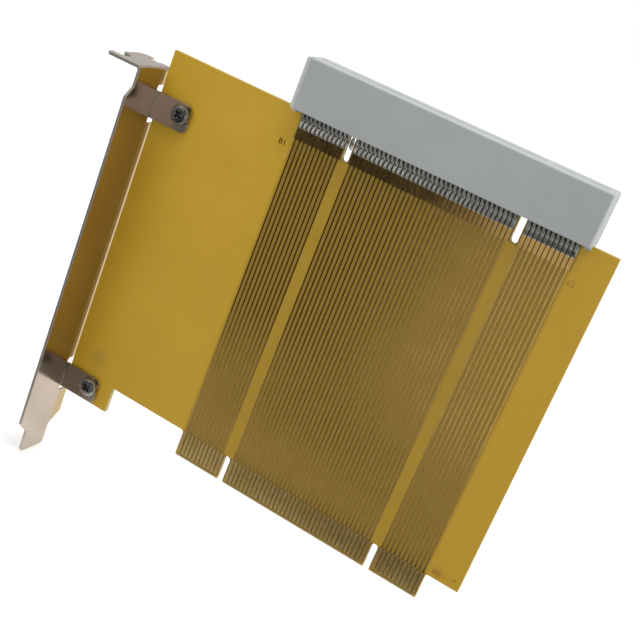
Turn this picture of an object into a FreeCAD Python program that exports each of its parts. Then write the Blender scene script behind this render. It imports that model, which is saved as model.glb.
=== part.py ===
import FreeCAD, Part
import math
import os

# PCI extender card, in millimetres. X runs along the contact row toward position 62, Y toward the
# back of the board, Z up from the edge fingers to the socket. The origin is the middle of the tab's foot.
vec = FreeCAD.Vector
front = -1
back = 1

# Contact row, the same on both faces
contact_pitch = 1.27
position_count = 62
low_key_first = 12
high_key_first = 50
key_positions = 2

# Board
board_thickness = 1.57
board_left_reach = 80.5
board_right_reach = 49.0
board_height = 97.2
tab_depth = 7.95
tab_margin = 0.8
tab_root_radius = 0.8
tab_bevel_depth = 0.35
tab_bevel_rise = 0.6
heel_width = 15.4
key_notch_width = 1.91
top_slot_depth = 7.55

# Copper runs
foil_thickness = 0.07
finger_width = 1.0
finger_foot_gap = 0.5
trace_width = 0.36
pad_width = 1.0
pad_length = 7.6
pad_taper = 0.25
pad_top_gap = 0.2

# Socket housing
socket_length = 84.0
socket_width = 9.9
socket_height = 13.7
socket_top_chamfer = 0.3
socket_corner_chamfer = 0.35
card_clearance = 0.13
slot_end_clearance = 0.2
slot_floor_gap = 1.3
key_clearance = 0.1
lip_height = 1.4
lip_lead_in = 0.45
channel_end_margin = 0.65
foot_width = 1.5
foot_drop = 0.9
foot_reach = 2.0

# Socket contacts
contact_width = 0.6
contact_thickness = 0.25
contact_knee = 2.15
contact_knee_drop = 0.3
contact_slack = 0.15
contact_tail_drop = 4.1
contact_tail_length = 1.7
contact_bite = 0.2
contact_tip_gap = 0.5

# Slot bracket
sheet = 0.86
bend_radius = 0.4
bracket_gap = 0.7
bracket_width = 18.42
bracket_length = 119.2
bracket_behind_board = 1.67
bracket_top = 99.7
shoulder_setback = 2.54
shoulder_top_drop = 5.66
shoulder_rise = 2.8
tongue_length = 6.8
tongue_taper = 3.6
tongue_setback = 4.11
tongue_corner_radius = 1.1
top_tab_reach = 11.43
screw_notch_width = 4.42
screw_notch_floor = 7.3
screw_notch_inset = 7.8
rear_notch_start = 3.7
rear_notch_width = 3.9
rear_notch_depth = 1.2
rear_notch_radius = 0.9
tab_lobe_radius = 1.5
tab_lobe_overhang = 1.9
tab_rear_radius = 2.6
tab_front_radius = 1.6
ear_width = 7.8
ear_reach = 11.9
ear_corner_radius = 1.8
ear_relief = 1.6
relief_radius = 0.8
ear_hole_reach = 9.3
ear_hole_lift = 0.9
lower_ear_height = 4.35
upper_ear_height = 89.3

# Fasteners
screw_diameter = 3.0
screw_clearance = 0.1
thread_clearance = 0.02
screw_end = 0.6
head_diameter = 5.5
head_height = 1.9
recess_length = 3.0
recess_width = 0.75
recess_depth = 1.1
nut_across_flats = 5.5
nut_height = 2.4

# Places that follow from the sizes above
row_half = contact_pitch * (position_count - 1) / 2
tab_half = row_half + tab_margin
low_key_x = contact_pitch * (low_key_first - 1 + (key_positions - 1) / 2) - row_half
high_key_x = contact_pitch * (high_key_first - 1 + (key_positions - 1) / 2) - row_half
board_half = board_thickness / 2
board_top = tab_depth + board_height
socket_top = board_top + socket_height
slot_half = board_half + card_clearance
slot_floor = socket_top - tab_depth - slot_floor_gap
lip_base = socket_top - lip_height
channel_half = contact_knee + contact_thickness / 2
tip_offset = slot_half - contact_bite + contact_thickness / 2
tip_height = lip_base - contact_tip_gap
knee_height = board_top - contact_knee_drop
bend_outer = bend_radius + sheet
plate_inner = -board_left_reach - bracket_gap
plate_rear = board_half + bracket_behind_board
plate_front = plate_rear - bracket_width
ear_front = -board_half - sheet
ear_hole_x = plate_inner + ear_hole_reach
ear_heights = {"lower": lower_ear_height, "upper": upper_ear_height}
screw_heights = {name: height + ear_hole_lift for name, height in ear_heights.items()}
hole_radius = screw_diameter / 2 + screw_clearance


def contact_x(position):
    return contact_pitch * (position - 1) - row_half


def on_front(x, z):
    return vec(x, 0, z)


def on_side(y, z):
    return vec(0, y, z)


def on_top(x, y):
    return vec(x, y, 0)


# Flat face from (a, b, corner radius) in the plane that `place` stands for
def rounded_face(corners, place):
    points = [place(a, b) for a, b, radius in corners]
    trims = []
    for i, (a, b, radius) in enumerate(corners):
        point = points[i]
        if radius == 0:
            trims.append((point, None, point))
            continue
        behind = (points[i - 1] - point).normalize()
        ahead = (points[(i + 1) % len(points)] - point).normalize()
        half = behind.getAngle(ahead) / 2
        inward = (behind + ahead).normalize()
        reach = radius / math.tan(half)
        middle = point + inward * (radius / math.sin(half) - radius)
        trims.append((point + behind * reach, middle, point + ahead * reach))
    edges = []
    for i, (start, middle, end) in enumerate(trims):
        if middle is not None:
            edges.append(Part.Arc(start, middle, end).toShape())
        following = trims[(i + 1) % len(trims)][0]
        if end.distanceToPoint(following) > 1e-6:
            edges.append(Part.makeLine(end, following))
    return Part.Face(Part.Wire(edges))


def prism(corners, place, start, depth):
    face = rounded_face(corners, place)
    face.translate(start)
    return face.extrude(depth)


def sharp(points):
    return [(a, b, 0) for a, b in points]


# Box from its two opposite corners
def block(low, high):
    return Part.makeBox(high[0] - low[0], high[1] - low[1], high[2] - low[2], vec(*low))


# Quarter of a sheet bend about (a, b), in the quadrant of the two signs
def quarter_bend(a, b, sign_a, sign_b, place, start, depth):
    slant = math.sqrt(0.5)

    def at(along_a, along_b):
        return place(a + sign_a * along_a, b + sign_b * along_b)

    outer = Part.Arc(at(bend_outer, 0), at(bend_outer * slant, bend_outer * slant), at(0, bend_outer))
    inner = Part.Arc(at(0, bend_radius), at(bend_radius * slant, bend_radius * slant), at(bend_radius, 0))
    edges = [
        outer.toShape(),
        Part.makeLine(at(0, bend_outer), at(0, bend_radius)),
        inner.toShape(),
        Part.makeLine(at(bend_radius, 0), at(bend_outer, 0)),
    ]
    face = Part.Face(Part.Wire(edges))
    face.translate(start)
    return face.extrude(depth)


def y_cylinder(radius, x, z, start_y, end_y):
    return Part.makeCylinder(radius, end_y - start_y, vec(x, start_y, z), vec(0, 1, 0))


def make_board():
    notch = key_notch_width / 2
    slot_floor_z = board_top - top_slot_depth
    heel_right = heel_width - board_left_reach
    outline = [
        (-board_left_reach, 0, 0),
        (heel_right, 0, 0),
        (heel_right, tab_depth, tab_root_radius),
        (-tab_half, tab_depth, tab_root_radius),
        (-tab_half, 0, 0),
    ]
    for key_x in (low_key_x, high_key_x):
        outline += [
            (key_x - notch, 0, 0),
            (key_x - notch, tab_depth, notch),
            (key_x + notch, tab_depth, notch),
            (key_x + notch, 0, 0),
        ]
    outline += [
        (tab_half, 0, 0),
        (tab_half, tab_depth, tab_root_radius),
        (board_right_reach, tab_depth, 0),
        (board_right_reach, board_top, 0),
    ]
    for key_x in (high_key_x, low_key_x):
        outline += [
            (key_x + notch, board_top, 0),
            (key_x + notch, slot_floor_z, notch),
            (key_x - notch, slot_floor_z, notch),
            (key_x - notch, board_top, 0),
        ]
    outline.append((-board_left_reach, board_top, 0))
    board = prism(outline, on_front, vec(0, -board_half, 0), vec(0, board_thickness, 0))
    for side in (front, back):
        wedge = sharp([
            (side * board_half, 0),
            (side * (board_half - tab_bevel_depth), 0),
            (side * board_half, tab_bevel_rise),
        ])
        board = board.cut(prism(wedge, on_side, vec(-tab_half, 0, 0), vec(2 * tab_half, 0, 0)))
    for height in screw_heights.values():
        board = board.cut(y_cylinder(hole_radius, ear_hole_x, height, -board_thickness, board_thickness))
    return board


# Foil on a face of the board, as wide about its position as (half width, height) says going up
def make_foil(half_outline, position, side):
    x = contact_x(position)
    right = [(x + half, z) for half, z in half_outline]
    left = [(x - half, z) for half, z in reversed(half_outline)]
    return prism(sharp(right + left), on_front, vec(0, side * board_half, 0), vec(0, side * foil_thickness, 0))


# Gold-plated finger on the edge tab
def make_finger(position, side):
    return make_foil([
        (finger_width / 2, tab_bevel_rise + finger_foot_gap),
        (finger_width / 2, tab_depth),
    ], position, side)


# Trace from the finger's top to its solder pad under the socket
def make_trace(position, side):
    pad_foot = board_top - pad_top_gap - pad_length
    return make_foil([
        (trace_width / 2, tab_depth),
        (trace_width / 2, pad_foot),
        (pad_width / 2, pad_foot + pad_taper),
        (pad_width / 2, board_top - pad_top_gap),
    ], position, side)


def make_housing():
    half_length = socket_length / 2
    half_width = socket_width / 2
    cut = socket_corner_chamfer
    plan = sharp([
        (-half_length, -half_width + cut), (-half_length + cut, -half_width),
        (half_length - cut, -half_width), (half_length, -half_width + cut),
        (half_length, half_width - cut), (half_length - cut, half_width),
        (-half_length + cut, half_width), (-half_length, half_width - cut),
    ])
    housing = prism(plan, on_top, vec(0, 0, board_top), vec(0, 0, socket_height))
    rim = [e for e in housing.Edges if min(v.Z for v in e.Vertexes) > socket_top - 1e-6]
    housing = housing.makeChamfer(socket_top_chamfer, rim)
    slot_end = tab_half + slot_end_clearance
    rib_half = key_notch_width / 2 - key_clearance
    mouth = sharp([
        (-slot_half, slot_floor), (slot_half, slot_floor),
        (slot_half, socket_top - lip_lead_in), (slot_half + lip_lead_in, socket_top),
        (-slot_half - lip_lead_in, socket_top), (-slot_half, socket_top - lip_lead_in),
    ])
    lean = math.atan2(contact_knee - tip_offset, tip_height - knee_height)
    floor_offset = contact_knee - (slot_floor - knee_height) * math.tan(lean)
    slit_inner = floor_offset - contact_thickness / 2 / math.cos(lean) - contact_slack
    spans = [
        (-slot_end, high_key_x - rib_half, 1, high_key_first - 1),
        (high_key_x + rib_half, slot_end, high_key_first + key_positions, position_count),
    ]
    for start, end, first, last in spans:
        housing = housing.cut(prism(mouth, on_side, vec(start, 0, 0), vec(end - start, 0, 0)))
        low_x = contact_x(first) - channel_end_margin
        high_x = contact_x(last) + channel_end_margin
        housing = housing.cut(block((low_x, -channel_half, slot_floor), (high_x, channel_half, lip_base)))
        for side in (front, back):
            low_y = min(side * slit_inner, side * channel_half)
            high_y = max(side * slit_inner, side * channel_half)
            housing = housing.cut(block((low_x, low_y, board_top), (high_x, high_y, slot_floor)))
    for end in (-1, 1):
        for side in (front, back):
            low_x = min(end * half_length, end * (half_length - foot_width))
            low_y = min(side * board_half, side * (board_half + foot_reach))
            foot = block((low_x, low_y, board_top - foot_drop), (low_x + foot_width, low_y + foot_reach, board_top))
            housing = housing.fuse(foot)
    return housing.removeSplitter()


# One bent contact: tail on the pad, then out to the housing and up through its floor into the slot
def make_contact(position, side):
    tail = board_half + foil_thickness + contact_thickness / 2
    line = [
        (tail, board_top - contact_tail_drop),
        (tail, board_top - contact_tail_drop + contact_tail_length),
        (contact_knee, knee_height),
        (tip_offset, tip_height),
    ]
    near = []
    far = []
    for i, (y, z) in enumerate(line):
        turns = []
        for j in (i - 1, i):
            if 0 <= j < len(line) - 1:
                turns.append(math.atan2(line[j + 1][1] - line[j][1], line[j + 1][0] - line[j][0]))
        heading = sum(turns) / len(turns)
        reach = contact_thickness / 2 / math.cos((turns[-1] - turns[0]) / 2)
        near.append((side * (y - math.sin(heading) * reach), z + math.cos(heading) * reach))
        far.append((side * (y + math.sin(heading) * reach), z - math.cos(heading) * reach))
    corners = sharp(near + far[::-1])
    start = vec(contact_x(position) - contact_width / 2, 0, 0)
    return prism(corners, on_side, start, vec(contact_width, 0, 0))


def make_bracket():
    plate_outer = plate_inner - sheet
    plate_top = bracket_top - bend_outer
    bend_end = ear_front - bend_radius
    tip = bracket_top - bracket_length
    taper_low = tip + tongue_length
    taper_high = taper_low + tongue_taper
    shoulder_front = plate_front + shoulder_setback
    shoulder_top = bracket_top - shoulder_top_drop
    outline = [(plate_rear, plate_top, 0)]
    for height in sorted(ear_heights.values(), reverse=True):
        for end in (1, -1):
            near = height + end * ear_width / 2
            far = near + end * ear_relief
            gap = [
                (plate_rear, far, 0),
                (bend_end, far, relief_radius),
                (bend_end, near, 0),
            ]
            outline += gap[::end]
    outline += [
        (plate_rear, taper_high, 0),
        (plate_rear - tongue_setback, taper_low, 0),
        (plate_rear - tongue_setback, tip, tongue_corner_radius),
        (plate_front + tongue_setback, tip, tongue_corner_radius),
        (plate_front + tongue_setback, taper_low, 0),
        (plate_front, taper_high, 0),
        (plate_front, shoulder_top - shoulder_rise, 0),
        (shoulder_front, shoulder_top, 0),
        (shoulder_front, plate_top, 0),
    ]
    plate = prism(outline, on_side, vec(plate_outer, 0, 0), vec(sheet, 0, 0))

    notch_y = plate_front + screw_notch_inset
    notch_half = screw_notch_width / 2
    rear_end = rear_notch_start + rear_notch_width
    lobe_rear = plate_rear + tab_lobe_overhang
    tab_plan = [
        (bend_outer, plate_rear, 0),
        (rear_notch_start, plate_rear, 0),
        (rear_notch_start, plate_rear - rear_notch_depth, rear_notch_radius),
        (rear_end, plate_rear - rear_notch_depth, rear_notch_radius),
        (rear_end, lobe_rear, 0),
        (top_tab_reach, lobe_rear, tab_rear_radius),
        (top_tab_reach, notch_y + notch_half, tab_lobe_radius),
        (screw_notch_floor, notch_y + notch_half, notch_half),
        (screw_notch_floor, notch_y - notch_half, notch_half),
        (top_tab_reach, notch_y - notch_half, 0),
        (top_tab_reach, shoulder_front, tab_front_radius),
        (bend_outer, shoulder_front, 0),
    ]
    tab_outline = [(plate_inner - out, y, radius) for out, y, radius in tab_plan]
    top_tab = prism(tab_outline, on_top, vec(0, 0, bracket_top - sheet), vec(0, 0, sheet))
    top_bend = quarter_bend(
        plate_inner - bend_outer, plate_top, 1, 1, on_front,
        vec(0, shoulder_front, 0), vec(0, plate_rear - shoulder_front, 0))
    pieces = [top_tab, top_bend]
    for height in ear_heights.values():
        low = height - ear_width / 2
        high = height + ear_width / 2
        ear_end = plate_inner + ear_reach
        ear_outline = [
            (plate_inner + bend_radius, low, 0),
            (ear_end, low, ear_corner_radius),
            (ear_end, high, ear_corner_radius),
            (plate_inner + bend_radius, high, 0),
        ]
        ear = prism(ear_outline, on_front, vec(0, ear_front, 0), vec(0, sheet, 0))
        ear = ear.cut(y_cylinder(hole_radius, ear_hole_x, height + ear_hole_lift, ear_front - sheet, sheet))
        pieces.append(ear)
        pieces.append(quarter_bend(
            plate_inner + bend_radius, bend_end, -1, 1, on_top,
            vec(0, 0, low), vec(0, 0, ear_width)))
    return plate.fuse(pieces).removeSplitter()


def make_screw(height):
    crown = ear_front - head_height
    end = board_half + nut_height + screw_end
    screw = y_cylinder(head_diameter / 2, ear_hole_x, height, crown, ear_front)
    screw = screw.fuse(y_cylinder(screw_diameter / 2, ear_hole_x, height, ear_front, end))
    long_half = recess_length / 2
    short_half = recess_width / 2
    floor = crown + recess_depth
    for half_x, half_z in ((long_half, short_half), (short_half, long_half)):
        low = (ear_hole_x - half_x, crown, height - half_z)
        high = (ear_hole_x + half_x, floor, height + half_z)
        screw = screw.cut(block(low, high))
    return screw.removeSplitter()


def make_nut(height):
    corner = nut_across_flats / math.sqrt(3)
    turns = [math.radians(60 * i) for i in range(6)]
    hexagon = sharp([(ear_hole_x + corner * math.cos(t), height + corner * math.sin(t)) for t in turns])
    nut = prism(hexagon, on_front, vec(0, board_half, 0), vec(0, nut_height, 0))
    bore = screw_diameter / 2 + thread_clearance
    return nut.cut(y_cylinder(bore, ear_hole_x, height, 0, board_half + 2 * nut_height))


nodes = {"circuit_board": make_board(), "socket_housing": make_housing(), "slot_bracket": make_bracket()}

low_key_last = low_key_first + key_positions - 1
high_key_last = high_key_first + key_positions - 1
finger_blocks = [
    (1, low_key_first - 1),
    (low_key_last + 1, high_key_first - 1),
    (high_key_last + 1, position_count),
]
contact_blocks = sorted(finger_blocks + [(low_key_first, low_key_last)])
for face_name, side in (("front", front), ("back", back)):
    fingers = []
    for first, last in finger_blocks:
        traces = [make_trace(position, side) for position in range(first, last + 1)]
        nodes[f"{face_name}_traces_{first:02d}_{last:02d}"] = Part.makeCompound(traces)
        fingers += [make_finger(position, side) for position in range(first, last + 1)]
    nodes[f"{face_name}_edge_fingers"] = Part.makeCompound(fingers)
    for first, last in contact_blocks:
        contacts = [make_contact(position, side) for position in range(first, last + 1)]
        nodes[f"{face_name}_contacts_{first:02d}_{last:02d}"] = Part.makeCompound(contacts)

for ear_name, height in screw_heights.items():
    nodes[f"{ear_name}_screw"] = make_screw(height)
    nodes[f"{ear_name}_nut"] = make_nut(height)

os.makedirs("parts", exist_ok=True)
for name, shape in nodes.items():
    shape.exportStep(f"parts/{name}.step")
    print(name, len(shape.Solids), round(shape.Volume, 3), shape.isValid())
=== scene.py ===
import math

import bpy
from mathutils import Matrix, Vector


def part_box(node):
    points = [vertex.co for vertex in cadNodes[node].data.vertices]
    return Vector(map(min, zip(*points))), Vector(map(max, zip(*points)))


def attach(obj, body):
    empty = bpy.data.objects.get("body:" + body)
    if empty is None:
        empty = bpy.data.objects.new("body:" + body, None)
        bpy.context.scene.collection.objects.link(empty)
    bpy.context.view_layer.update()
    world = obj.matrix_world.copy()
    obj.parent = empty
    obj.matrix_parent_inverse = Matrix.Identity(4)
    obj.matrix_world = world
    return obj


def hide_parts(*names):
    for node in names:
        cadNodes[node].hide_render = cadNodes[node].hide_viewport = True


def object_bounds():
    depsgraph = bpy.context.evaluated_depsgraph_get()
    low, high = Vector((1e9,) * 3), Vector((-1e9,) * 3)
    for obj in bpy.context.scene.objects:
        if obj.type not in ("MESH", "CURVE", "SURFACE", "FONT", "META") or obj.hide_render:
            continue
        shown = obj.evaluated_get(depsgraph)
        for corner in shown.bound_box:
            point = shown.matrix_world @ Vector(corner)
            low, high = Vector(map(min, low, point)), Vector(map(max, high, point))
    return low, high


# Extender card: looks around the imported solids. Metres, X along the contacts, socket up, front to -Y.
mm = 0.001
hair = 0.01 * mm  # margin when edges and faces are picked by their place
squareOn = 0.9  # how squarely a picked face looks along its axis
roundedAngle = 60  # in degrees, what still shades smoothly on rounded edges
meshMerge = {"distance": 0.001 * mm, "flatAngle": 0.5}

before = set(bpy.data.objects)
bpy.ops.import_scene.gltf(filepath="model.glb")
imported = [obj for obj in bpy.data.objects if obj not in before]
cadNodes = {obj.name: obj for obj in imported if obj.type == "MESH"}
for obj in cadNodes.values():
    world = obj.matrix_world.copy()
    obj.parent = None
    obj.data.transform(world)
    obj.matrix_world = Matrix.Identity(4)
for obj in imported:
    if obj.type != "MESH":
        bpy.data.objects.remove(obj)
cadLow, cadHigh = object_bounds()
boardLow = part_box("circuit_board")[0]
socketLow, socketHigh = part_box("socket_housing")
traceBlocks = ["01_11", "14_49", "52_62"]
contactBlocks = ["01_11", "12_13", "14_49", "52_62"]
faceSides = {"front": -1, "back": 1}
print("frame loaded,", len(cadNodes), "nodes")


# Selecting and finishing

def pick(piece):
    bpy.ops.object.select_all(action="DESELECT")
    piece.select_set(True)
    bpy.context.view_layer.objects.active = piece


def newPiece(name):
    piece = bpy.context.active_object  # what the last add operator made
    piece.name = name
    piece.data.name = name
    return piece


def clearSelection(piece, kind):
    pick(piece)
    bpy.ops.object.mode_set(mode="EDIT")
    bpy.ops.mesh.select_mode(type=kind)
    bpy.ops.mesh.select_all(action="DESELECT")
    bpy.ops.object.mode_set(mode="OBJECT")


def selectFaces(piece, wanted):
    clearSelection(piece, "FACE")
    for face in piece.data.polygons:
        face.select = wanted(face.center, face.normal)
    bpy.ops.object.mode_set(mode="EDIT")


def selectEdges(piece, wanted):
    clearSelection(piece, "EDGE")
    points = piece.data.vertices
    for edge in piece.data.edges:
        edge.select = wanted(points[edge.vertices[0]].co, points[edge.vertices[1]].co)
    bpy.ops.object.mode_set(mode="EDIT")


def selectSharpEdges(piece, angle, wanted):
    clearSelection(piece, "EDGE")
    bpy.ops.object.mode_set(mode="EDIT")
    bpy.ops.mesh.edges_select_sharp(sharpness=math.radians(angle))
    bpy.ops.object.mode_set(mode="OBJECT")
    points = piece.data.vertices
    for edge in piece.data.edges:
        ends = [points[i].co for i in edge.vertices]
        edge.select = edge.select and wanted(*ends)
    bpy.ops.object.mode_set(mode="EDIT")


def leaveEdit():
    bpy.ops.object.mode_set(mode="OBJECT")


def copyNode(nodeName, pieceName):
    # merged copy of a solid's mesh, its flat faces made whole again
    piece = bpy.data.objects.new(pieceName, cadNodes[nodeName].data.copy())
    piece.data.name = pieceName
    bpy.context.scene.collection.objects.link(piece)
    pick(piece)
    bpy.ops.mesh.customdata_custom_splitnormals_clear()
    bpy.ops.object.mode_set(mode="EDIT")
    bpy.ops.mesh.select_all(action="SELECT")
    bpy.ops.mesh.remove_doubles(threshold=meshMerge["distance"])
    bpy.ops.mesh.dissolve_limited(angle_limit=math.radians(meshMerge["flatAngle"]))
    leaveEdit()
    return piece


def copyPiece(piece, name, move):
    double = piece.copy()
    double.data = piece.data.copy()
    double.name = name
    double.data.name = name
    bpy.context.scene.collection.objects.link(double)
    double.data.transform(Matrix.Translation(move))
    return double


def turnedCopy(piece, name):
    # half a turn about the upright, for the other face of the board
    double = copyPiece(piece, name, (0, 0, 0))
    double.data.transform(Matrix.Rotation(math.pi, 4, "Z"))
    return double


def addBlock(name, size):
    bpy.ops.object.select_all(action="DESELECT")
    bpy.ops.mesh.primitive_cube_add(size=1.0)
    piece = newPiece(name)
    piece.scale = size
    bpy.ops.object.transform_apply()
    return piece


def joinPieces(pieces, name):
    bpy.ops.object.select_all(action="DESELECT")
    for piece in pieces:
        piece.select_set(True)
    bpy.context.view_layer.objects.active = pieces[0]
    bpy.ops.object.join()
    return newPiece(name)


def applyModifier(piece, kind, **settings):
    modifier = piece.modifiers.new(kind.lower(), kind)
    for name, value in settings.items():
        setattr(modifier, name, value)
    pick(piece)
    bpy.ops.object.modifier_apply(modifier=modifier.name)


def smooth(piece, angle):
    pick(piece)
    bpy.ops.object.shade_smooth_by_angle(angle=math.radians(angle))


def keepFlat(piece):
    # rounded edges shade smoothly and the flat faces stay flat
    smooth(piece, roundedAngle)
    applyModifier(piece, "WEIGHTED_NORMAL", mode="FACE_AREA", weight=100, keep_sharp=True)


def settle(piece, material, slot, *nodes):
    piece.data.materials.clear()
    piece.data.materials.append(material)
    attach(piece, "root")
    if nodes:
        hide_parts(*nodes)


# Node helpers

def feed(tree, target, value):
    if isinstance(value, bpy.types.NodeSocket):
        tree.links.new(value, target)
    else:
        target.default_value = value


def addNode(tree, kind, inputs=None, **settings):
    node = tree.nodes.new(kind)
    for name, value in settings.items():
        setattr(node, name, value)
    for name, value in (inputs or {}).items():
        feed(tree, node.inputs[name], value)
    return node


def maths(tree, operation, first, second=0.0):
    return addNode(tree, "ShaderNodeMath", {0: first, 1: second}, operation=operation).outputs[0]


def mixColour(tree, factor, first, second, blend="MIX"):
    inputs = {0: factor, 6: first, 7: second}
    return addNode(tree, "ShaderNodeMix", inputs, data_type="RGBA", blend_type=blend).outputs[2]


def fade(tree, value, low, high, outLow=0.0, outHigh=1.0):
    inputs = {"Value": value, "From Min": low, "From Max": high, "To Min": outLow, "To Max": outHigh}
    return addNode(tree, "ShaderNodeMapRange", inputs, interpolation_type="SMOOTHSTEP").outputs["Result"]


def objectCoords(tree):
    return addNode(tree, "ShaderNodeTexCoord").outputs["Object"]


def noise(tree, vector, scale, detail=3.0):
    inputs = {"Vector": vector, "Scale": scale, "Detail": detail}
    return addNode(tree, "ShaderNodeTexNoise", inputs).outputs["Fac"]


def bump(tree, height, distance, strength=1.0):
    inputs = {"Height": height, "Distance": distance, "Strength": strength}
    return addNode(tree, "ShaderNodeBump", inputs).outputs["Normal"]


def newGroup(name, inputs, outputs):
    group = bpy.data.node_groups.new(name, "ShaderNodeTree")
    for socketName, kind in inputs.items():
        group.interface.new_socket(socketName, in_out="INPUT", socket_type=kind)
    for socketName, kind in outputs.items():
        group.interface.new_socket(socketName, in_out="OUTPUT", socket_type=kind)
    return group, group.nodes.new("NodeGroupInput"), group.nodes.new("NodeGroupOutput")


def useGroup(tree, group, inputs):
    return addNode(tree, "ShaderNodeGroup", inputs, node_tree=group)


# Shared effects

effectNoise = {
    "toneDetail": 4.0,
    "toneSpan": (0.3, 0.7),
    "grainDetail": 2.0,
    "grainSpan": (0.3, 0.7),
    "markDetail": 5.0,
    "markSpan": (0.52, 0.68),
}


def makeSlowTone():
    # drifts between two colours in patches
    group, start, end = newGroup(
        "slowTone",
        {"Scale": "NodeSocketFloat", "Pale": "NodeSocketColor", "Deep": "NodeSocketColor"},
        {"Colour": "NodeSocketColor"})
    patches = noise(group, objectCoords(group), start.outputs["Scale"], effectNoise["toneDetail"])
    share = fade(group, patches, *effectNoise["toneSpan"])
    colour = mixColour(group, share, start.outputs["Pale"], start.outputs["Deep"])
    group.links.new(colour, end.inputs["Colour"])
    return group


def makeFineGrain():
    # small grain, drawn out by Stretch, as a roughness and a height
    group, start, end = newGroup(
        "fineGrain",
        {"Scale": "NodeSocketFloat", "Stretch": "NodeSocketVector",
         "Smooth": "NodeSocketFloat", "Rough": "NodeSocketFloat"},
        {"Roughness": "NodeSocketFloat", "Height": "NodeSocketFloat"})
    stretched = addNode(group, "ShaderNodeVectorMath", operation="MULTIPLY")
    feed(group, stretched.inputs[0], objectCoords(group))
    feed(group, stretched.inputs[1], start.outputs["Stretch"])
    grain = noise(group, stretched.outputs[0], start.outputs["Scale"], effectNoise["grainDetail"])
    rough = fade(group, grain, *effectNoise["grainSpan"], start.outputs["Smooth"], start.outputs["Rough"])
    group.links.new(rough, end.inputs["Roughness"])
    group.links.new(grain, end.inputs["Height"])
    return group


def makeHandMarks():
    # dull patches where the thing was handled
    group, start, end = newGroup(
        "handMarks", {"Scale": "NodeSocketFloat", "Amount": "NodeSocketFloat"}, {"Mask": "NodeSocketFloat"})
    patches = noise(group, objectCoords(group), start.outputs["Scale"], effectNoise["markDetail"])
    dulled = fade(group, patches, *effectNoise["markSpan"])
    mask = maths(group, "MULTIPLY", dulled, start.outputs["Amount"])
    group.links.new(mask, end.inputs["Mask"])
    return group


slowTone = makeSlowTone()
fineGrain = makeFineGrain()
handMarks = makeHandMarks()


def newMaterial(name, **constants):
    material = bpy.data.materials.new(name)
    material.use_nodes = True
    tree = material.node_tree
    shader = tree.nodes["Principled BSDF"]
    for socketName, value in constants.items():
        shader.inputs[socketName].default_value = value
    return material, tree, shader


def tonedColour(tree, look):
    return useGroup(tree, slowTone, {
        "Scale": look["patchScale"], "Pale": look["pale"], "Deep": look["deep"]}).outputs["Colour"]


def grained(tree, look):
    return useGroup(tree, fineGrain, {
        "Scale": look["grainScale"], "Stretch": look["stretch"],
        "Smooth": look["smooth"], "Rough": look["rough"]})


# Laminate: yellow glass cloth in resin, with painted shadow where copper on the far face blocks the light
# through it, and painted shade towards the right and the bottom

laminateLook = {
    "pale": (0.60, 0.37, 0.018, 1),
    "deep": (0.55, 0.33, 0.013, 1),
    "paintedFalloff": (0.51, 0.305, 0.0125, 1),
    "paintedFalloffAcross": (20 * mm, 44 * mm),
    "paintedFalloffRight": 0.9,
    "paintedFalloffDown": (95 * mm, 45 * mm),
    "paintedFalloffLow": 0.35,
    "shadowUnderTraces": (0.265, 0.160, 0.009, 1),
    "shadowUnderPads": (0.022, 0.017, 0.004, 1),
    "shadowUnderFingers": (0.035, 0.026, 0.007, 1),
    "edgePale": (0.50, 0.41, 0.19, 1),
    "edgeDeep": (0.36, 0.27, 0.09, 1),
    "glow": (0.85, 0.60, 0.20, 1),
    "glowStrength": 0.3,
    "patchScale": 45.0,
    "grainScale": 900.0,
    "stretch": (1.0, 1.0, 1.0),
    "smooth": 0.34,
    "rough": 0.5,
    "weavePitch": 0.62 * mm,
    "weaveDepth": 0.012 * mm,
    "weaveStrength": 0.6,
    "threadShow": 0.12,
    "plyCount": 8,
    "plySpan": (0.0, 1.4),
    "frayScale": 1500.0,
    "faceTurn": (-0.6, -0.95),  # normals that count as the front or the left
    "edgeTurn": (0.95, 0.6),  # and as the cut edge
    "shadeBlur": 0.9 * mm,
    "gapShade": 0.5,
    "padLength": 7.4 * mm,
    "padBlur": 0.35 * mm,
    "spots": [
        {"place": (-72.7 * mm, 14.3 * mm), "radius": 4.6 * mm, "amount": 0.34,
         "colour": (0.22, 0.17, 0.04, 1)},
        {"place": (47.2 * mm, 10.45 * mm), "radius": 0.62 * mm, "amount": 0.85,
         "colour": (0.34, 0.11, 0.008, 1)},
        {"place": (42.0 * mm, 10.0 * mm), "radius": 2.6 * mm, "amount": 0.45,
         "colour": (0.34, 0.14, 0.012, 1)},
    ],
}


def blockShade(tree, x):
    # mask of the painted shadow: 1 over each block of copper, less between the blocks, 0 past the outer
    # traces
    blur = laminateLook["shadeBlur"]
    boxes = [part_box("front_traces_" + block) for block in traceBlocks]
    spans = [(low.x, high.x, 1.0) for low, high in boxes]
    total = None
    for left, right, amount in spans + [(spans[0][0], spans[-1][1], laminateLook["gapShade"])]:
        rise = fade(tree, x, left - blur, left + blur)
        fall = fade(tree, x, right - blur, right + blur, amount, 0.0)
        share = maths(tree, "MULTIPLY", rise, fall)
        total = share if total is None else maths(tree, "MAXIMUM", total, share)
    return total


def padBand(tree, z):
    # 1 at the height of the pads, where little light gets through
    blur = laminateLook["padBlur"]
    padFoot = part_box("front_traces_" + traceBlocks[0])[1].z - laminateLook["padLength"]
    return fade(tree, z, padFoot - blur, padFoot + blur)


def fingerBand(tree, z):
    blur = laminateLook["padBlur"]
    low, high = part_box("front_edge_fingers")
    rise = fade(tree, z, low.z - blur, low.z + blur)
    return maths(tree, "MULTIPLY", rise, fade(tree, z, high.z - blur, high.z + blur, 1.0, 0.0))


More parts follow.
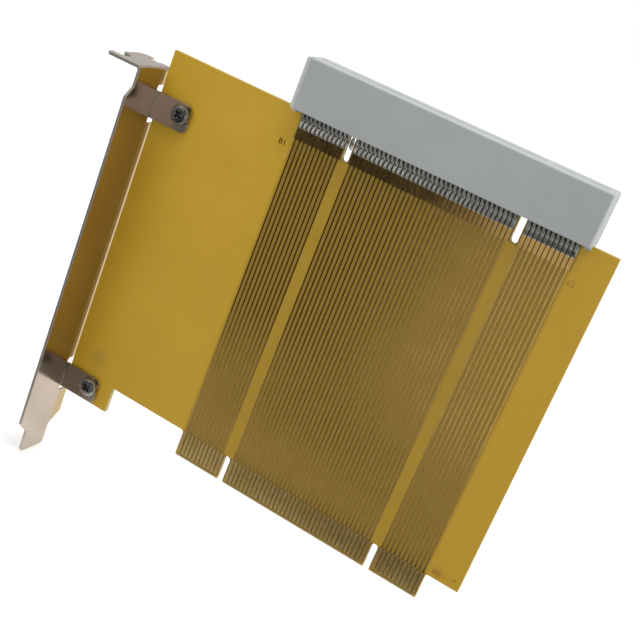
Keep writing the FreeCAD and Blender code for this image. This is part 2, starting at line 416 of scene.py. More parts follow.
def spotMask(tree, place, spot):
    # soft round spot on the front face
    across = maths(tree, "POWER", maths(tree, "SUBTRACT", place.outputs["X"], spot["place"][0]), 2.0)
    upward = maths(tree, "POWER", maths(tree, "SUBTRACT", place.outputs["Z"], spot["place"][1]), 2.0)
    distance = maths(tree, "SQRT", maths(tree, "ADD", across, upward))
    return fade(tree, distance, 0.0, spot["radius"], spot["amount"], 0.0)


def makeLaminate():
    look = laminateLook
    material, tree, shader = newMaterial("laminate")
    coords = addNode(tree, "ShaderNodeTexCoord")
    place = addNode(tree, "ShaderNodeSeparateXYZ", {0: coords.outputs["Object"]})
    facing = addNode(tree, "ShaderNodeSeparateXYZ", {0: coords.outputs["Normal"]})
    # painted shade: darker towards the right and towards the bottom, standing in for the lamps' falloff
    paintedFalloffRight = fade(tree, place.outputs["X"], *look["paintedFalloffAcross"], 0.0, look["paintedFalloffRight"])
    paintedFalloffLow = fade(tree, place.outputs["Z"], *look["paintedFalloffDown"], 0.0, look["paintedFalloffLow"])
    paintedFalloff = maths(tree, "MAXIMUM", paintedFalloffRight, paintedFalloffLow)
    colour = mixColour(tree, paintedFalloff, tonedColour(tree, look), look["paintedFalloff"])
    # painted shadow of the copper on the far face, darkest between the pads and between the fingers
    copperShadow = blockShade(tree, place.outputs["X"])
    colour = mixColour(tree, copperShadow, colour, look["shadowUnderTraces"])
    for band, shade in ((padBand, "shadowUnderPads"), (fingerBand, "shadowUnderFingers")):
        wide = maths(tree, "MULTIPLY", copperShadow, band(tree, place.outputs["Z"]))
        colour = mixColour(tree, wide, colour, look[shade])
    onFront = fade(tree, facing.outputs["Y"], *look["faceTurn"])
    for spot in look["spots"]:
        mask = maths(tree, "MULTIPLY", onFront, spotMask(tree, place, spot))
        colour = mixColour(tree, mask, colour, spot["colour"])
    turn = 2 * math.pi / look["weavePitch"]
    warp = maths(tree, "SINE", maths(tree, "MULTIPLY", place.outputs["X"], turn))
    weft = maths(tree, "SINE", maths(tree, "MULTIPLY", place.outputs["Z"], turn))
    weave = maths(tree, "MULTIPLY", warp, weft)
    threads = fade(tree, weave, -1.0, 1.0, 0.0, look["threadShow"])
    colour = mixColour(tree, threads, colour, look["deep"])
    ply = maths(tree, "SINE", maths(tree, "MULTIPLY", place.outputs["Y"], look["plyCount"] * turn / 2))
    frayed = noise(tree, coords.outputs["Object"], look["frayScale"])
    cut = fade(tree, maths(tree, "ADD", ply, frayed), *look["plySpan"])
    edgeColour = mixColour(tree, cut, look["edgePale"], look["edgeDeep"])
    onEdge = fade(tree, maths(tree, "ABSOLUTE", facing.outputs["Y"]), *look["edgeTurn"])
    colour = mixColour(tree, onEdge, colour, edgeColour)
    feed(tree, shader.inputs["Base Color"], colour)
    onLeft = fade(tree, facing.outputs["X"], *look["faceTurn"])  # painted glow: emission on the end beside the bracket, standing in for light the laminate carries
    feed(tree, shader.inputs["Emission Color"], mixColour(tree, onLeft, (0, 0, 0, 1), look["glow"]))
    shader.inputs["Emission Strength"].default_value = look["glowStrength"]
    grain = grained(tree, look)
    feed(tree, shader.inputs["Roughness"], grain.outputs["Roughness"])
    feed(tree, shader.inputs["Normal"], bump(tree, weave, look["weaveDepth"], look["weaveStrength"]))
    return material


# Copper, gold and tin

copperLook = {
    "pale": (0.80, 0.51, 0.165, 1),
    "deep": (0.68, 0.41, 0.125, 1),
    "patchScale": 120.0,
    "grainScale": 2500.0,
    "stretch": (1.0, 1.0, 0.15),
    "smooth": 0.1,
    "rough": 0.18,
    "relief": 0.004 * mm,
}
goldLook = {
    "pale": (0.80, 0.565, 0.205, 1),
    "deep": (0.70, 0.475, 0.16, 1),
    "patchScale": 150.0,
    "grainScale": 4000.0,
    "stretch": (1.0, 1.0, 0.06),
    "smooth": 0.265,
    "rough": 0.3,
    "relief": 0.0005 * mm,
}
letterLook = {
    "pale": (0.72, 0.38, 0.09, 1),
    "deep": (0.62, 0.31, 0.07, 1),
    "patchScale": 200.0,
    "grainScale": 2500.0,
    "stretch": (1.0, 1.0, 1.0),
    "smooth": 0.11,
    "rough": 0.19,
    "relief": 0.002 * mm,
}
dullLetterLook = {
    "pale": (0.33, 0.15, 0.02, 1),
    "deep": (0.27, 0.12, 0.015, 1),
    "metallic": 0.0,
    "patchScale": 200.0,
    "grainScale": 2500.0,
    "stretch": (1.0, 1.0, 1.0),
    "smooth": 0.5,
    "rough": 0.6,
    "relief": 0.002 * mm,
}
tinLook = {
    "pale": (0.56, 0.555, 0.51, 1),
    "deep": (0.40, 0.395, 0.36, 1),
    "patchScale": 400.0,
    "grainScale": 3000.0,
    "stretch": (1.0, 1.0, 0.4),
    "smooth": 0.1,
    "rough": 0.22,
    "relief": 0.004 * mm,
}
solderLook = {
    "pale": (0.42, 0.425, 0.42, 1),
    "deep": (0.30, 0.30, 0.295, 1),
    "patchScale": 700.0,
    "grainScale": 2600.0,
    "stretch": (1.0, 1.0, 1.0),
    "smooth": 0.14,
    "rough": 0.3,
    "relief": 0.01 * mm,
}
bracketLook = {
    "pale": (0.545, 0.455, 0.375, 1),
    "deep": (0.495, 0.41, 0.335, 1),
    "patchScale": 70.0,
    "grainScale": 1800.0,
    "stretch": (1.0, 1.0, 0.04),
    "smooth": 0.155,
    "rough": 0.185,
    "relief": 0.0006 * mm,
    "markScale": 90.0,
    "markDulling": 0.03,
    "plateGap": 0.7 * mm,  # from the board's end to the plate
    "foldWidth": 0.42 * mm,
    "foldRise": (0.02 * mm, 0.08 * mm),
    "foldFall": 0.06 * mm,
    "faceTurn": (0.5, 0.85),
    "foldDullAndShade": (0.36, 0.31, 0.26, 1),
    "shadedLowFold": (0.12, 0.105, 0.08, 1),
    "shadedLowFoldHeight": (30 * mm, 60 * mm),
    "paintedBoardReflection": (0.52, 0.387, 0.214, 1),
    "paintedReflectionStart": (-1.7 * mm, -1.2 * mm),
    "cutEdge": (0.56, 0.515, 0.47, 1),
    "foldRough": 0.25,
    "cutRough": 0.45,
}
fastenerLook = {
    "pale": (0.34, 0.335, 0.33, 1),
    "deep": (0.23, 0.225, 0.22, 1),
    "patchScale": 500.0,
    "grainScale": 3500.0,
    "stretch": (1.0, 1.0, 1.0),
    "smooth": 0.14,
    "rough": 0.26,
    "relief": 0.003 * mm,
    "markScale": 300.0,
    "markDulling": 0.15,
}


def bracketEdges(tree, look):
    # masks: inside the folds of the ears, with dull plating and painted shade, on the plate's sheared edges,
    # and on the plate beside the board, where a painted reflection of the board tints it
    coords = addNode(tree, "ShaderNodeTexCoord")
    place = addNode(tree, "ShaderNodeSeparateXYZ", {0: coords.outputs["Object"]})
    facing = addNode(tree, "ShaderNodeSeparateXYZ", {0: coords.outputs["Normal"]})
    x = place.outputs["X"]
    plate = boardLow.x - look["plateGap"]
    past = plate + look["foldWidth"]
    start, full = look["foldRise"]
    rise = fade(tree, x, plate + start, plate + full)
    fall = fade(tree, x, past - look["foldFall"], past, 1.0, 0.0)
    foldDullAndShade = maths(tree, "MULTIPLY", rise, fall)
    onPlate = fade(tree, x, plate, plate + start, 1.0, 0.0)
    sheared = fade(tree, maths(tree, "ABSOLUTE", facing.outputs["Y"]), *look["faceTurn"])
    cut = maths(tree, "MULTIPLY", onPlate, sheared)
    inward = maths(tree, "MULTIPLY", onPlate, fade(tree, facing.outputs["X"], *look["faceTurn"]))
    beside = maths(tree, "MULTIPLY", inward, fade(tree, place.outputs["Y"], *look["paintedReflectionStart"]))
    # painted shade: darker colour in the folds, much darker in the lower ear's fold
    foldShadeColour = mixColour(
        tree, fade(tree, place.outputs["Z"], *look["shadedLowFoldHeight"]), look["shadedLowFold"], look["foldDullAndShade"])
    return foldDullAndShade, foldShadeColour, cut, beside


def makeMetal(name, look):
    material, tree, shader = newMaterial(name, Metallic=look.get("metallic", 1.0))
    colour = tonedColour(tree, look)
    grain = grained(tree, look)
    rough = grain.outputs["Roughness"]
    if "markScale" in look:
        marks = useGroup(tree, handMarks, {"Scale": look["markScale"], "Amount": look["markDulling"]})
        rough = maths(tree, "ADD", rough, marks.outputs["Mask"])
    if "plateGap" in look:
        foldDullAndShade, foldShadeColour, cut, beside = bracketEdges(tree, look)
        # painted reflection of the board on the plate beside it, and painted shade in the folds
        colour = mixColour(tree, beside, colour, look["paintedBoardReflection"])
        colour = mixColour(tree, foldDullAndShade, colour, foldShadeColour)
        colour = mixColour(tree, cut, colour, look["cutEdge"])
        rough = maths(tree, "ADD", rough, maths(tree, "MULTIPLY", foldDullAndShade, look["foldRough"]))
        rough = maths(tree, "ADD", rough, maths(tree, "MULTIPLY", cut, look["cutRough"]))
    feed(tree, shader.inputs["Base Color"], colour)
    feed(tree, shader.inputs["Roughness"], rough)
    feed(tree, shader.inputs["Normal"], bump(tree, grain.outputs["Height"], look["relief"]))
    return material


# Socket plastic

plasticLook = {
    "pale": (0.382, 0.403, 0.418, 1),
    "deep": (0.358, 0.378, 0.394, 1),
    "paintedEndLight": (0.60, 0.60, 0.58, 1),
    "paintedEndLightWidth": 1.7 * mm,
    "patchScale": 60.0,
    "grainScale": 3200.0,
    "stretch": (1.0, 1.0, 1.0),
    "smooth": 0.5,
    "rough": 0.62,
    "relief": 0.006 * mm,
}


def makePlastic():
    look = plasticLook
    material, tree, shader = newMaterial("socketPlastic")
    x = addNode(tree, "ShaderNodeSeparateXYZ", {0: objectCoords(tree)}).outputs["X"]
    # painted light: the housing's left end is lighter
    paintedEndLight = fade(tree, x, socketLow.x, socketLow.x + look["paintedEndLightWidth"], 1.0, 0.0)
    feed(tree, shader.inputs["Base Color"], mixColour(tree, paintedEndLight, tonedColour(tree, look), look["paintedEndLight"]))
    grain = grained(tree, look)
    feed(tree, shader.inputs["Roughness"], grain.outputs["Roughness"])
    feed(tree, shader.inputs["Normal"], bump(tree, grain.outputs["Height"], look["relief"]))
    return material


laminate = makeLaminate()
copper = makeMetal("copper", copperLook)
gold = makeMetal("gold", goldLook)
letterCopper = makeMetal("letterCopper", letterLook)
dullLetter = makeMetal("dullLetter", dullLetterLook)
tin = makeMetal("tin", tinLook)
solder = makeMetal("solder", solderLook)
bracketPlating = makeMetal("bracketPlating", bracketLook)
fastenerPlating = makeMetal("fastenerPlating", fastenerLook)
plastic = makePlastic()

nodeFinishes = {
    "board": laminate,
    "housing": plastic,
    "bracket": bracketPlating,
    "traces": copper,
    "fingers": gold,
    "contacts": tin,
    "screw": fastenerPlating,
    "nut": fastenerPlating,
}
for nodeName, node in cadNodes.items():
    material = next(finish for word, finish in nodeFinishes.items() if word in nodeName)
    for slot in node.material_slots:
        slot.material = material
print("finishes made")


# Socket housing with softened outer edges

socketShell = {
    "edge": 0.13 * mm,
    "segments": 3,
    "sharpAngle": 25,
    "endReach": 1.15 * mm,
    "sideReach": 1.05 * mm,
}


def makeSocketShell():
    shell = copyNode("socket_housing", "socketShell")
    middle = (socketLow + socketHigh) / 2
    half = (socketHigh - socketLow) / 2

    def outer(point):
        atEnd = abs(point.x - middle.x) > half.x - socketShell["endReach"]
        atSide = abs(point.y - middle.y) > half.y - socketShell["sideReach"]
        return atEnd or atSide

    selectSharpEdges(shell, socketShell["sharpAngle"], lambda a, b: outer(a) and outer(b))
    bpy.ops.mesh.bevel(
        offset=socketShell["edge"], segments=socketShell["segments"], affect="EDGES", clamp_overlap=True)
    leaveEdit()
    keepFlat(shell)
    settle(shell, plastic, "socket_plastic", "socket_housing")


# Ribs that part the contacts inside the socket's slot

slotRib = {
    "thickness": 0.44 * mm,
    "innerFace": 0.915 * mm,
    "outerFace": 2.26 * mm,
    "floorDepth": 9.2 * mm,
    "lipDepth": 1.42 * mm,
    "edge": 0.08 * mm,
    "edgeSegments": 1,
}


def contactPlaces(block):
    # X of each contact of a block, from its node's box and its name
    first, last = (int(number) for number in block.split("_"))
    low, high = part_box("front_contacts_" + block)
    half = contactBend["width"] / 2
    step = (high.x - low.x - 2 * half) / (last - first)
    return [low.x + half + step * i for i in range(last - first + 1)]


def makeSlotRibs():
    rib = slotRib
    rows = [sum((contactPlaces(block) for block in contactBlocks[:3]), []), contactPlaces(contactBlocks[3])]
    places = [(a + b) / 2 for row in rows for a, b in zip(row, row[1:])]
    depth = rib["outerFace"] - rib["innerFace"]
    height = rib["floorDepth"] - rib["lipDepth"]
    model = addBlock("slotRib", (rib["thickness"], depth, height))
    selectEdges(model, lambda a, b: a.y < 0 and b.y < 0 and abs(a.z - b.z) > height / 2)
    bpy.ops.mesh.bevel(offset=rib["edge"], segments=rib["edgeSegments"], affect="EDGES")
    leaveEdit()
    z = socketHigh.z - rib["lipDepth"] - height / 2
    y = (rib["innerFace"] + rib["outerFace"]) / 2
    turned = turnedCopy(model, "turnedRib")
    copies = []
    for x in places:
        copies.append(copyPiece(model, "rib", (x, y, z)))
        copies.append(copyPiece(turned, "rib", (x, -y, z)))
    bpy.data.objects.remove(model)
    bpy.data.objects.remove(turned)
    ribs = joinPieces(copies, "slotRibs")
    settle(ribs, plastic, "socket_plastic")


# Contacts with rounded bends, their tips flared a little so that the board slides in

contactBend = {
    "width": 0.6 * mm,
    "radius": 0.28 * mm,
    "segments": 3,
    "endMargin": 0.3 * mm,
    "acrossShare": 0.9,
    "smoothAngle": 35,
    "flare": 0.3 * mm,
}


def makeContacts():
    for face, side in faceSides.items():
        for block in contactBlocks:
            nodeName = f"{face}_contacts_{block}"
            low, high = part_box(nodeName)
            piece = copyNode(nodeName, f"{face}Contacts_{block}")
            tip = low.z + hair
            selectFaces(piece, lambda centre, normal: centre.z < tip)
            bpy.ops.transform.translate(value=(0, side * contactBend["flare"], 0))
            leaveEdit()
            bottom = low.z + contactBend["endMargin"]
            top = high.z - contactBend["endMargin"]
            across = contactBend["width"] * contactBend["acrossShare"]
            selectEdges(piece, lambda a, b: abs(a.x - b.x) > across and bottom < a.z < top)
            bpy.ops.mesh.bevel(
                offset=contactBend["radius"], segments=contactBend["segments"], affect="EDGES",
                clamp_overlap=False)
            leaveEdit()
            smooth(piece, contactBend["smoothAngle"])
            settle(piece, tin, "tinned_contact", nodeName)


# Solder wetting each tail to its pad

solderFillet = {
    "width": 1.02 * mm,
    "crownWidth": 0.62 * mm,
    "height": 0.2 * mm,
    "tailLength": 1.7 * mm,
    "toe": 0.45 * mm,
    "heel": 1.6 * mm,
    "slope": 0.35 * mm,
    "wedge": 0.16 * mm,
    "edge": 0.05 * mm,
    "edgeSegments": 2,
}


def makeSolder():
    fillet = solderFillet
    length = fillet["tailLength"] + fillet["toe"] + fillet["heel"]
    model = addBlock("fillet", (fillet["width"], fillet["height"], length))
    selectFaces(model, lambda centre, normal: normal.y < -squareOn)
    shrink = (fillet["crownWidth"] / fillet["width"], 1.0, 1 - 2 * fillet["slope"] / length)
    bpy.ops.transform.resize(value=shrink)
    leaveEdit()
    selectEdges(model, lambda a, b: a.y < 0 and b.y < 0 and a.z < 0 and b.z < 0)
    bpy.ops.transform.translate(value=(0, -fillet["wedge"], 0))  # thicker under the flared tip
    leaveEdit()
    selectEdges(model, lambda a, b: a.y < 0 and b.y < 0)
    bpy.ops.mesh.bevel(offset=fillet["edge"], segments=fillet["edgeSegments"], affect="EDGES")
    leaveEdit()
    turned = turnedCopy(model, "turnedFillet")
    for face, side in faceSides.items():
        copies = []
        for block in traceBlocks:
            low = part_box(f"{face}_contacts_{block}")[0]
            padLow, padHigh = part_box(f"{face}_traces_{block}")
            padFace = padLow.y if side < 0 else padHigh.y
            y = padFace + side * fillet["height"] / 2
            z = low.z - fillet["toe"] + length / 2
            shape = model if side < 0 else turned
            copies += [copyPiece(shape, "fillet", (x, y, z)) for x in contactPlaces(block)]
        piece = joinPieces(copies, face + "Solder")
        smooth(piece, roundedAngle)
        settle(piece, solder, "tinned_contact")
    bpy.data.objects.remove(model)
    bpy.data.objects.remove(turned)


# Bracket with its sheared edges broken

bracketShell = {"edge": 0.1 * mm, "segments": 2, "sharpAngle": 40}


def makeBracket():
    piece = copyNode("slot_bracket", "bracketShell")
    selectSharpEdges(piece, bracketShell["sharpAngle"], lambda a, b: True)
    bpy.ops.mesh.bevel(
        offset=bracketShell["edge"], segments=bracketShell["segments"], affect="EDGES", clamp_overlap=False)
    leaveEdit()
    keepFlat(piece)
    settle(piece, bracketPlating, "bracket_steel", "slot_bracket")


# Pan head screws with a cross recess and a threaded shank

panScrew = {
    "headHeight": 1.9 * mm,
    "dome": 0.95 * mm,
    "domeSegments": 5,
    "recessLength": 3.2 * mm,
    "recessWidth": 0.86 * mm,
    "recessDepth": 1.15 * mm,
    "recessTaper": 0.6,
    "shankRadius": 1.5 * mm,
    "threadDepth": 0.17 * mm,
    "threadPitch": 0.5 * mm,
    "threadTurns": 6,
    "tip": 0.25 * mm,
    "roundSides": 40,
    "smoothAngle": 30,
}
layDown = Matrix.Rotation(math.pi / 2, 4, "X")  # a shape made along +Z then points to the front


def recessBar(turn, headTop):
    depth = 2 * panScrew["recessDepth"]
    bar = addBlock("recessBar", (panScrew["recessLength"], panScrew["recessWidth"], depth))
    selectFaces(bar, lambda centre, normal: normal.z < -squareOn)
    bpy.ops.transform.resize(value=(panScrew["recessTaper"], panScrew["recessTaper"], 1.0))
    leaveEdit()
    bar.data.transform(Matrix.Translation((0, 0, headTop)) @ Matrix.Rotation(turn, 4, "Z"))
    return bar


def makeScrewModel(headRadius, shankLength):
    # head seated on z = 0, crown up, shank down
    screw = panScrew
    bpy.ops.object.select_all(action="DESELECT")
    bpy.ops.mesh.primitive_cylinder_add(
        vertices=screw["roundSides"], radius=headRadius, depth=screw["headHeight"],
        location=(0, 0, screw["headHeight"] / 2))
    head = newPiece("screw")
    bpy.ops.object.transform_apply()
    top = screw["headHeight"] - hair
    selectEdges(head, lambda a, b: a.z > top and b.z > top)
    bpy.ops.mesh.bevel(offset=screw["dome"], segments=screw["domeSegments"], affect="EDGES")
    leaveEdit()
    for turn in (math.pi / 4, 3 * math.pi / 4):
        bar = recessBar(turn, screw["headHeight"])
        applyModifier(head, "BOOLEAN", object=bar, operation="DIFFERENCE", solver="EXACT")
        bpy.data.objects.remove(bar)
    selectFaces(head, lambda centre, normal: normal.z < -squareOn and centre.z < hair)
    bpy.ops.mesh.inset(thickness=headRadius - screw["shankRadius"])
    root = 1 - screw["threadDepth"] / screw["shankRadius"]
    plain = shankLength - screw["tip"] - screw["threadPitch"] * screw["threadTurns"]
    bpy.ops.mesh.extrude_region_move(TRANSFORM_OT_translate={"value": (0, 0, -plain)})
    halfTurn = {"value": (0, 0, -screw["threadPitch"] / 2)}
    for _ in range(screw["threadTurns"]):
        for size in (root, 1 / root):
            bpy.ops.mesh.extrude_region_move(TRANSFORM_OT_translate=halfTurn)
            bpy.ops.transform.resize(value=(size, size, 1.0))
    bpy.ops.mesh.extrude_region_move(TRANSFORM_OT_translate={"value": (0, 0, -screw["tip"])})
    bpy.ops.transform.resize(value=(root, root, 1.0))
    leaveEdit()
    return head


def makeScrews():
    low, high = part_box("upper_screw")
    headRadius = (high.x - low.x) / 2
    seat = low.y + panScrew["headHeight"]
    model = makeScrewModel(headRadius, high.y - seat)
    model.data.transform(layDown)
    smooth(model, panScrew["smoothAngle"])
    for ear in ("upper", "lower"):
        low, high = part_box(ear + "_screw")
        middle = (low + high) / 2
        piece = copyPiece(model, ear + "PanScrew", (middle.x, seat, middle.z))
        settle(piece, fastenerPlating, "fastener_steel", ear + "_screw")
    bpy.data.objects.remove(model)


# Hexagon nuts, chamfered on both faces

hexNut = {
    "chamfer": 0.45 * mm,
    "faceRadius": 2.62 * mm,
    "bore": 1.52 * mm,
    "lead": 0.2 * mm,
    "leadSegments": 1,
    "roundSides": 40,
    "smoothAngle": 25,
}


def makeNuts():
    nut = hexNut
    low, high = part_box("upper_nut")
    height = high.y - low.y
    corner = (high.x - low.x) / 2
    bpy.ops.object.select_all(action="DESELECT")
    bpy.ops.mesh.primitive_cylinder_add(vertices=6, radius=corner, depth=height, rotation=(0, 0, math.pi / 6))
    model = newPiece("nut")
    bpy.ops.object.transform_apply()
    bpy.ops.mesh.primitive_cylinder_add(
        vertices=nut["roundSides"], radius=corner + hair, depth=height)
    rounding = newPiece("rounding")
    selectFaces(rounding, lambda centre, normal: abs(normal.z) > squareOn)
    bpy.ops.mesh.inset(thickness=corner - nut["faceRadius"])
    leaveEdit()
    for point in rounding.data.vertices:
        if point.co.xy.length > nut["faceRadius"] + 2 * hair:
            point.co.z *= 1 - 2 * nut["chamfer"] / height
    applyModifier(model, "BOOLEAN", object=rounding, operation="INTERSECT", solver="EXACT")
    bpy.data.objects.remove(rounding)
    bpy.ops.mesh.primitive_cylinder_add(vertices=nut["roundSides"], radius=nut["bore"], depth=2 * height)
    bore = newPiece("bore")
    applyModifier(model, "BOOLEAN", object=bore, operation="DIFFERENCE", solver="EXACT")
    bpy.data.objects.remove(bore)
    inside = nut["bore"] + 2 * hair
    selectEdges(model, lambda a, b: max(a.xy.length, b.xy.length) < inside and abs(a.z - b.z) < hair)
    bpy.ops.mesh.bevel(offset=nut["lead"], segments=nut["leadSegments"], affect="EDGES")
    leaveEdit()
    model.data.transform(layDown)
    smooth(model, hexNut["smoothAngle"])
    for ear in ("upper", "lower"):
        low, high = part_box(ear + "_nut")
        piece = copyPiece(model, ear + "HexNut", (low + high) / 2)
        settle(piece, fastenerPlating, "fastener_steel", ear + "_nut")
    bpy.data.objects.remove(model)


# Position numbers etched in the copper

pinLabels = {
    "topFirst": {"text": "B1", "x": -42.0 * mm, "z": 95.3 * mm, "size": 2.2 * mm, "dull": False},
    "topLast": {"text": "62", "x": 40.9 * mm, "z": 94.8 * mm, "size": 2.2 * mm, "dull": False},
    "footLast": {"text": "B62", "x": 42.0 * mm, "z": 9.8 * mm, "size": 1.6 * mm, "dull": True},
}
labelThickness = 0.02 * mm


def makeLabels():
    for name, label in pinLabels.items():
        bpy.ops.object.select_all(action="DESELECT")
        place = (label["x"], boardLow.y - labelThickness, label["z"])
        bpy.ops.object.text_add(location=place, rotation=(math.pi / 2, 0, 0))
        words = bpy.context.active_object
        words.data.body = label["text"]
        words.data.size = label["size"]
        words.data.align_x = "CENTER"
        words.data.align_y = "CENTER"
        words.data.extrude = labelThickness
        bpy.ops.object.convert(target="MESH")
        bpy.ops.object.transform_apply()
        piece = newPiece("label_" + name)
        settle(piece, dullLetter if label["dull"] else letterCopper, "copper_trace")


makeSocketShell()
makeSlotRibs()
makeContacts()
makeSolder()
print("socket, contacts and solder done")
makeBracket()
makeScrews()
makeNuts()
makeLabels()
print("bracket, fasteners and labels done")


# Stage: pale floor, soft light, and a card lying in front that only metal mirrors

stageLook = {
    "floorDrop": 0.3 * mm,
    "floorSize": 12.0,
    "floorColour": (0.5, 0.5, 0.5, 1),
    "floorGlow": 0.5,
    "floorRough": 0.9,
    "fill": 0.385,
    "background": 1.0,
    "ceiling": 0.64,
    "ceilingStart": (0.03, 0.15),  # how far up mirrored rays fade from one to the other
}
lamps = {
    "topLamp": {"from": (0.20, -0.09, 0.97), "strength": 3.25, "spread": 50, "colour": (1.0, 0.975, 0.925)},
    "rightLamp": {"from": (0.93, 0.28, 0.25), "strength": 1.95, "spread": 50, "colour": (1.0, 0.98, 0.955)},
}
frontLamp = {"place": (-0.38, -0.55, 0.42), "size": 0.35, "energy": 0.8}
aimPoint = Vector((-0.04, 0.0, 0.07))
mirrorCard = {
    "size": (3.2, 1.6),
    "place": (-0.4, -0.83),
    "wallHeight": 1.6,
    "lift": 0.1 * mm,
    "edgeStart": 0.017,  # the bright side starts at x = edgeStart + edgeSlope * y
    "edgeSlope": 0.197,
    "farRange": (-0.30, 0.12),
    "farStops": [
        (0.0, 0.2), (0.12, 0.2), (0.15, 0.36), (0.17, 0.36), (0.22, 0.01), (0.46, 0.04), (0.51, 0.04),
        (0.55, 0.03), (0.60, 0.08), (0.63, 0.16), (0.69, 0.42), (0.75, 0.48), (0.79, 0.56), (1.0, 0.62)],
    "middleStops": [
        (0.0, 0.1), (0.4, 0.1), (0.53, 0.31), (0.60, 0.165), (0.652, 0.14), (0.703, 0.21), (0.761, 0.33),
        (1.0, 0.4)],
    "lowStops": [
        (0.0, 0.1), (0.45, 0.13), (0.53, 0.40), (0.565, 0.38), (0.615, 0.38), (0.66, 0.35), (0.706, 0.29),
        (0.757, 0.29), (1.0, 0.29)],
    "nearRange": (-0.12, 0.05),
    "nearStops": [
        (0.0, 0.02), (0.12, 0.03), (0.18, 0.38), (0.4, 0.27), (0.63, 0.125), (0.85, 0.025), (1.0, 0.02)],
    # how far in front each ramp takes over from the one before: low, middle, far
    "bands": [(0.053, 0.061), (0.068, 0.108), (0.115, 0.185)],
    "wallRange": (-0.75, -0.2),
    "wallStops": [(0.0, 0.8), (0.5, 0.7), (0.8, 0.2), (1.0, 0.05)],
    "wallStart": (0.1, 0.2),
}


def seenDirectly(tree):
    # 1 for rays that see the background itself or mirror it
    light = addNode(tree, "ShaderNodeLightPath")
    seen = maths(tree, "MAXIMUM", light.outputs["Is Camera Ray"], light.outputs["Is Glossy Ray"])
    return maths(tree, "MAXIMUM", seen, light.outputs["Is Transmission Ray"])


def greyRamp(tree, value, span, stops):
    inputs = {"Value": value, "From Min": span[0], "From Max": span[1]}
    share = addNode(tree, "ShaderNodeMapRange", inputs).outputs["Result"]
    ramp = addNode(tree, "ShaderNodeValToRGB", {0: share})
    elements = ramp.color_ramp.elements
    while len(elements) < len(stops):
        elements.new(0.5)
    for element, (position, grey) in zip(elements, stops):
        element.position = position
        element.color = (grey, grey, grey, 1)
    return ramp.outputs["Color"]


def makeFloor():
    bpy.ops.object.select_all(action="DESELECT")
    floorHeight = cadLow.z - stageLook["floorDrop"]
    bpy.ops.mesh.primitive_plane_add(size=stageLook["floorSize"], location=(0, 0, floorHeight))
    floor = newPiece("floor")
    material, tree, shader = newMaterial("floor", Roughness=stageLook["floorRough"])
    shader.inputs["Base Color"].default_value = stageLook["floorColour"]
    shader.inputs["Emission Color"].default_value = (1, 1, 1, 1)
    glow = maths(tree, "MULTIPLY", seenDirectly(tree), stageLook["floorGlow"])
    feed(tree, shader.inputs["Emission Strength"], glow)
    floor.data.materials.append(material)
    return floorHeight


def makeMirrorCard(floorHeight):
    card = mirrorCard
    bpy.ops.mesh.primitive_plane_add(size=1.0, location=(*card["place"], floorHeight + card["lift"]))
    sheet = newPiece("mirrorCard")
    sheet.scale = (*card["size"], 1.0)
    bpy.ops.object.transform_apply()
    farEdge = card["place"][1] - card["size"][1] / 2
    selectEdges(sheet, lambda a, b: max(a.y, b.y) < farEdge + mm)
    bpy.ops.mesh.extrude_edges_move(TRANSFORM_OT_translate={"value": (0, 0, card["wallHeight"])})
    leaveEdit()
    material, tree, shader = newMaterial("mirrorCard", Roughness=1.0)
    shader.inputs["Base Color"].default_value = (0, 0, 0, 1)
    shader.inputs["Specular IOR Level"].default_value = 0.0
    shader.inputs["Emission Strength"].default_value = 1.0
    spot = addNode(tree, "ShaderNodeNewGeometry").outputs["Position"]
    place = addNode(tree, "ShaderNodeSeparateXYZ", {0: spot})
    edge = maths(tree, "MULTIPLY_ADD", place.outputs["Y"], card["edgeSlope"])
    edge.node.inputs[2].default_value = card["edgeStart"]
    beside = maths(tree, "SUBTRACT", place.outputs["X"], edge)
    away = maths(tree, "MULTIPLY", place.outputs["Y"], -1.0)
    ground = greyRamp(tree, place.outputs["X"], card["nearRange"], card["nearStops"])
    for band, stops in zip(card["bands"], ("lowStops", "middleStops", "farStops")):
        farther = greyRamp(tree, beside, card["farRange"], card[stops])
        ground = mixColour(tree, fade(tree, away, *band), ground, farther)
    wall = greyRamp(tree, place.outputs["X"], card["wallRange"], card["wallStops"])
    onWall = fade(tree, place.outputs["Z"], *card["wallStart"])
    feed(tree, shader.inputs["Emission Color"], mixColour(tree, onWall, ground, wall))
    sheet.data.materials.append(material)
    for ray in ("camera", "diffuse", "transmission", "shadow"):
        setattr(sheet, "visible_" + ray, False)


def aimLight(light, direction):
    light.visible_glossy = False  # metal mirrors the card and the background, not the lamps
    light.rotation_mode = "QUATERNION"
    light.rotation_quaternion = direction.to_track_quat("-Z", "Y")


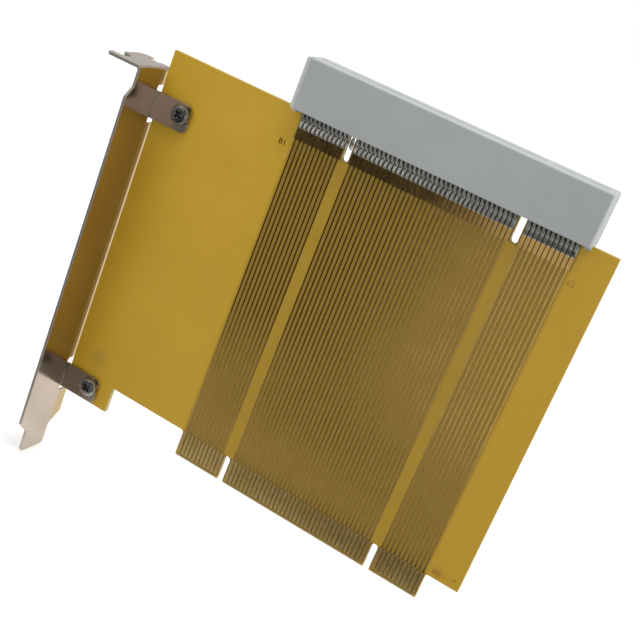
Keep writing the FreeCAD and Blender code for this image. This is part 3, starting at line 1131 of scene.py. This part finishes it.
def makeLight():
    world = bpy.data.worlds.new("studio")
    bpy.context.scene.world = world
    world.use_nodes = True
    tree = world.node_tree
    background = tree.nodes["Background"]
    background.inputs["Color"].default_value = (1, 1, 1, 1)
    way = addNode(tree, "ShaderNodeTexCoord").outputs["Generated"]
    upward = addNode(tree, "ShaderNodeSeparateXYZ", {0: way}).outputs["Z"]
    mirrored = fade(
        tree, upward, *stageLook["ceilingStart"], stageLook["background"], stageLook["ceiling"])
    strength = fade(tree, seenDirectly(tree), 0.0, 1.0, stageLook["fill"], mirrored)
    fromCamera = addNode(tree, "ShaderNodeLightPath").outputs["Is Camera Ray"]
    strength = fade(tree, fromCamera, 0.0, 1.0, strength, stageLook["background"])
    feed(tree, background.inputs["Strength"], strength)
    for name, lamp in lamps.items():
        direction = Vector(lamp["from"])
        bpy.ops.object.light_add(type="SUN", location=direction)
        light = bpy.context.active_object
        light.name = name
        light.data.energy = lamp["strength"]
        light.data.color = lamp["colour"]
        light.data.angle = math.radians(lamp["spread"])
        aimLight(light, -direction)
    bpy.ops.object.light_add(type="AREA", location=frontLamp["place"])
    light = bpy.context.active_object
    light.name = "frontLamp"
    light.data.size = frontLamp["size"]
    light.data.energy = frontLamp["energy"]
    aimLight(light, aimPoint - light.location)


cameraLook = {
    "place": (76.306 * mm, -274.374 * mm, 154.553 * mm),
    "right": (0.84221481, 0.40539392, 0.35542929),
    "up": (-0.4498756, 0.16510518, 0.87769711),
    "forward": (-0.29712985, 0.89910848, -0.32143086),
    "lens": 64.846,
    "sensor": 36.0,
    "clip": (0.01, 50.0),
}


def makeCamera():
    bpy.ops.object.camera_add(location=cameraLook["place"])
    camera = bpy.context.active_object
    camera.name = "camera"
    right, up, forward = (Vector(cameraLook[axis]) for axis in ("right", "up", "forward"))
    turn = Matrix((right, up, -forward)).transposed()
    camera.rotation_mode = "QUATERNION"
    camera.rotation_quaternion = turn.to_quaternion()
    camera.data.sensor_fit = "HORIZONTAL"
    camera.data.sensor_width = cameraLook["sensor"]
    camera.data.lens = cameraLook["lens"]
    camera.data.clip_start, camera.data.clip_end = cameraLook["clip"]
    bpy.context.scene.camera = camera


makeMirrorCard(makeFloor())
makeLight()
makeCamera()
bpy.context.scene.view_settings.view_transform = "Standard"
print("stage and camera set")
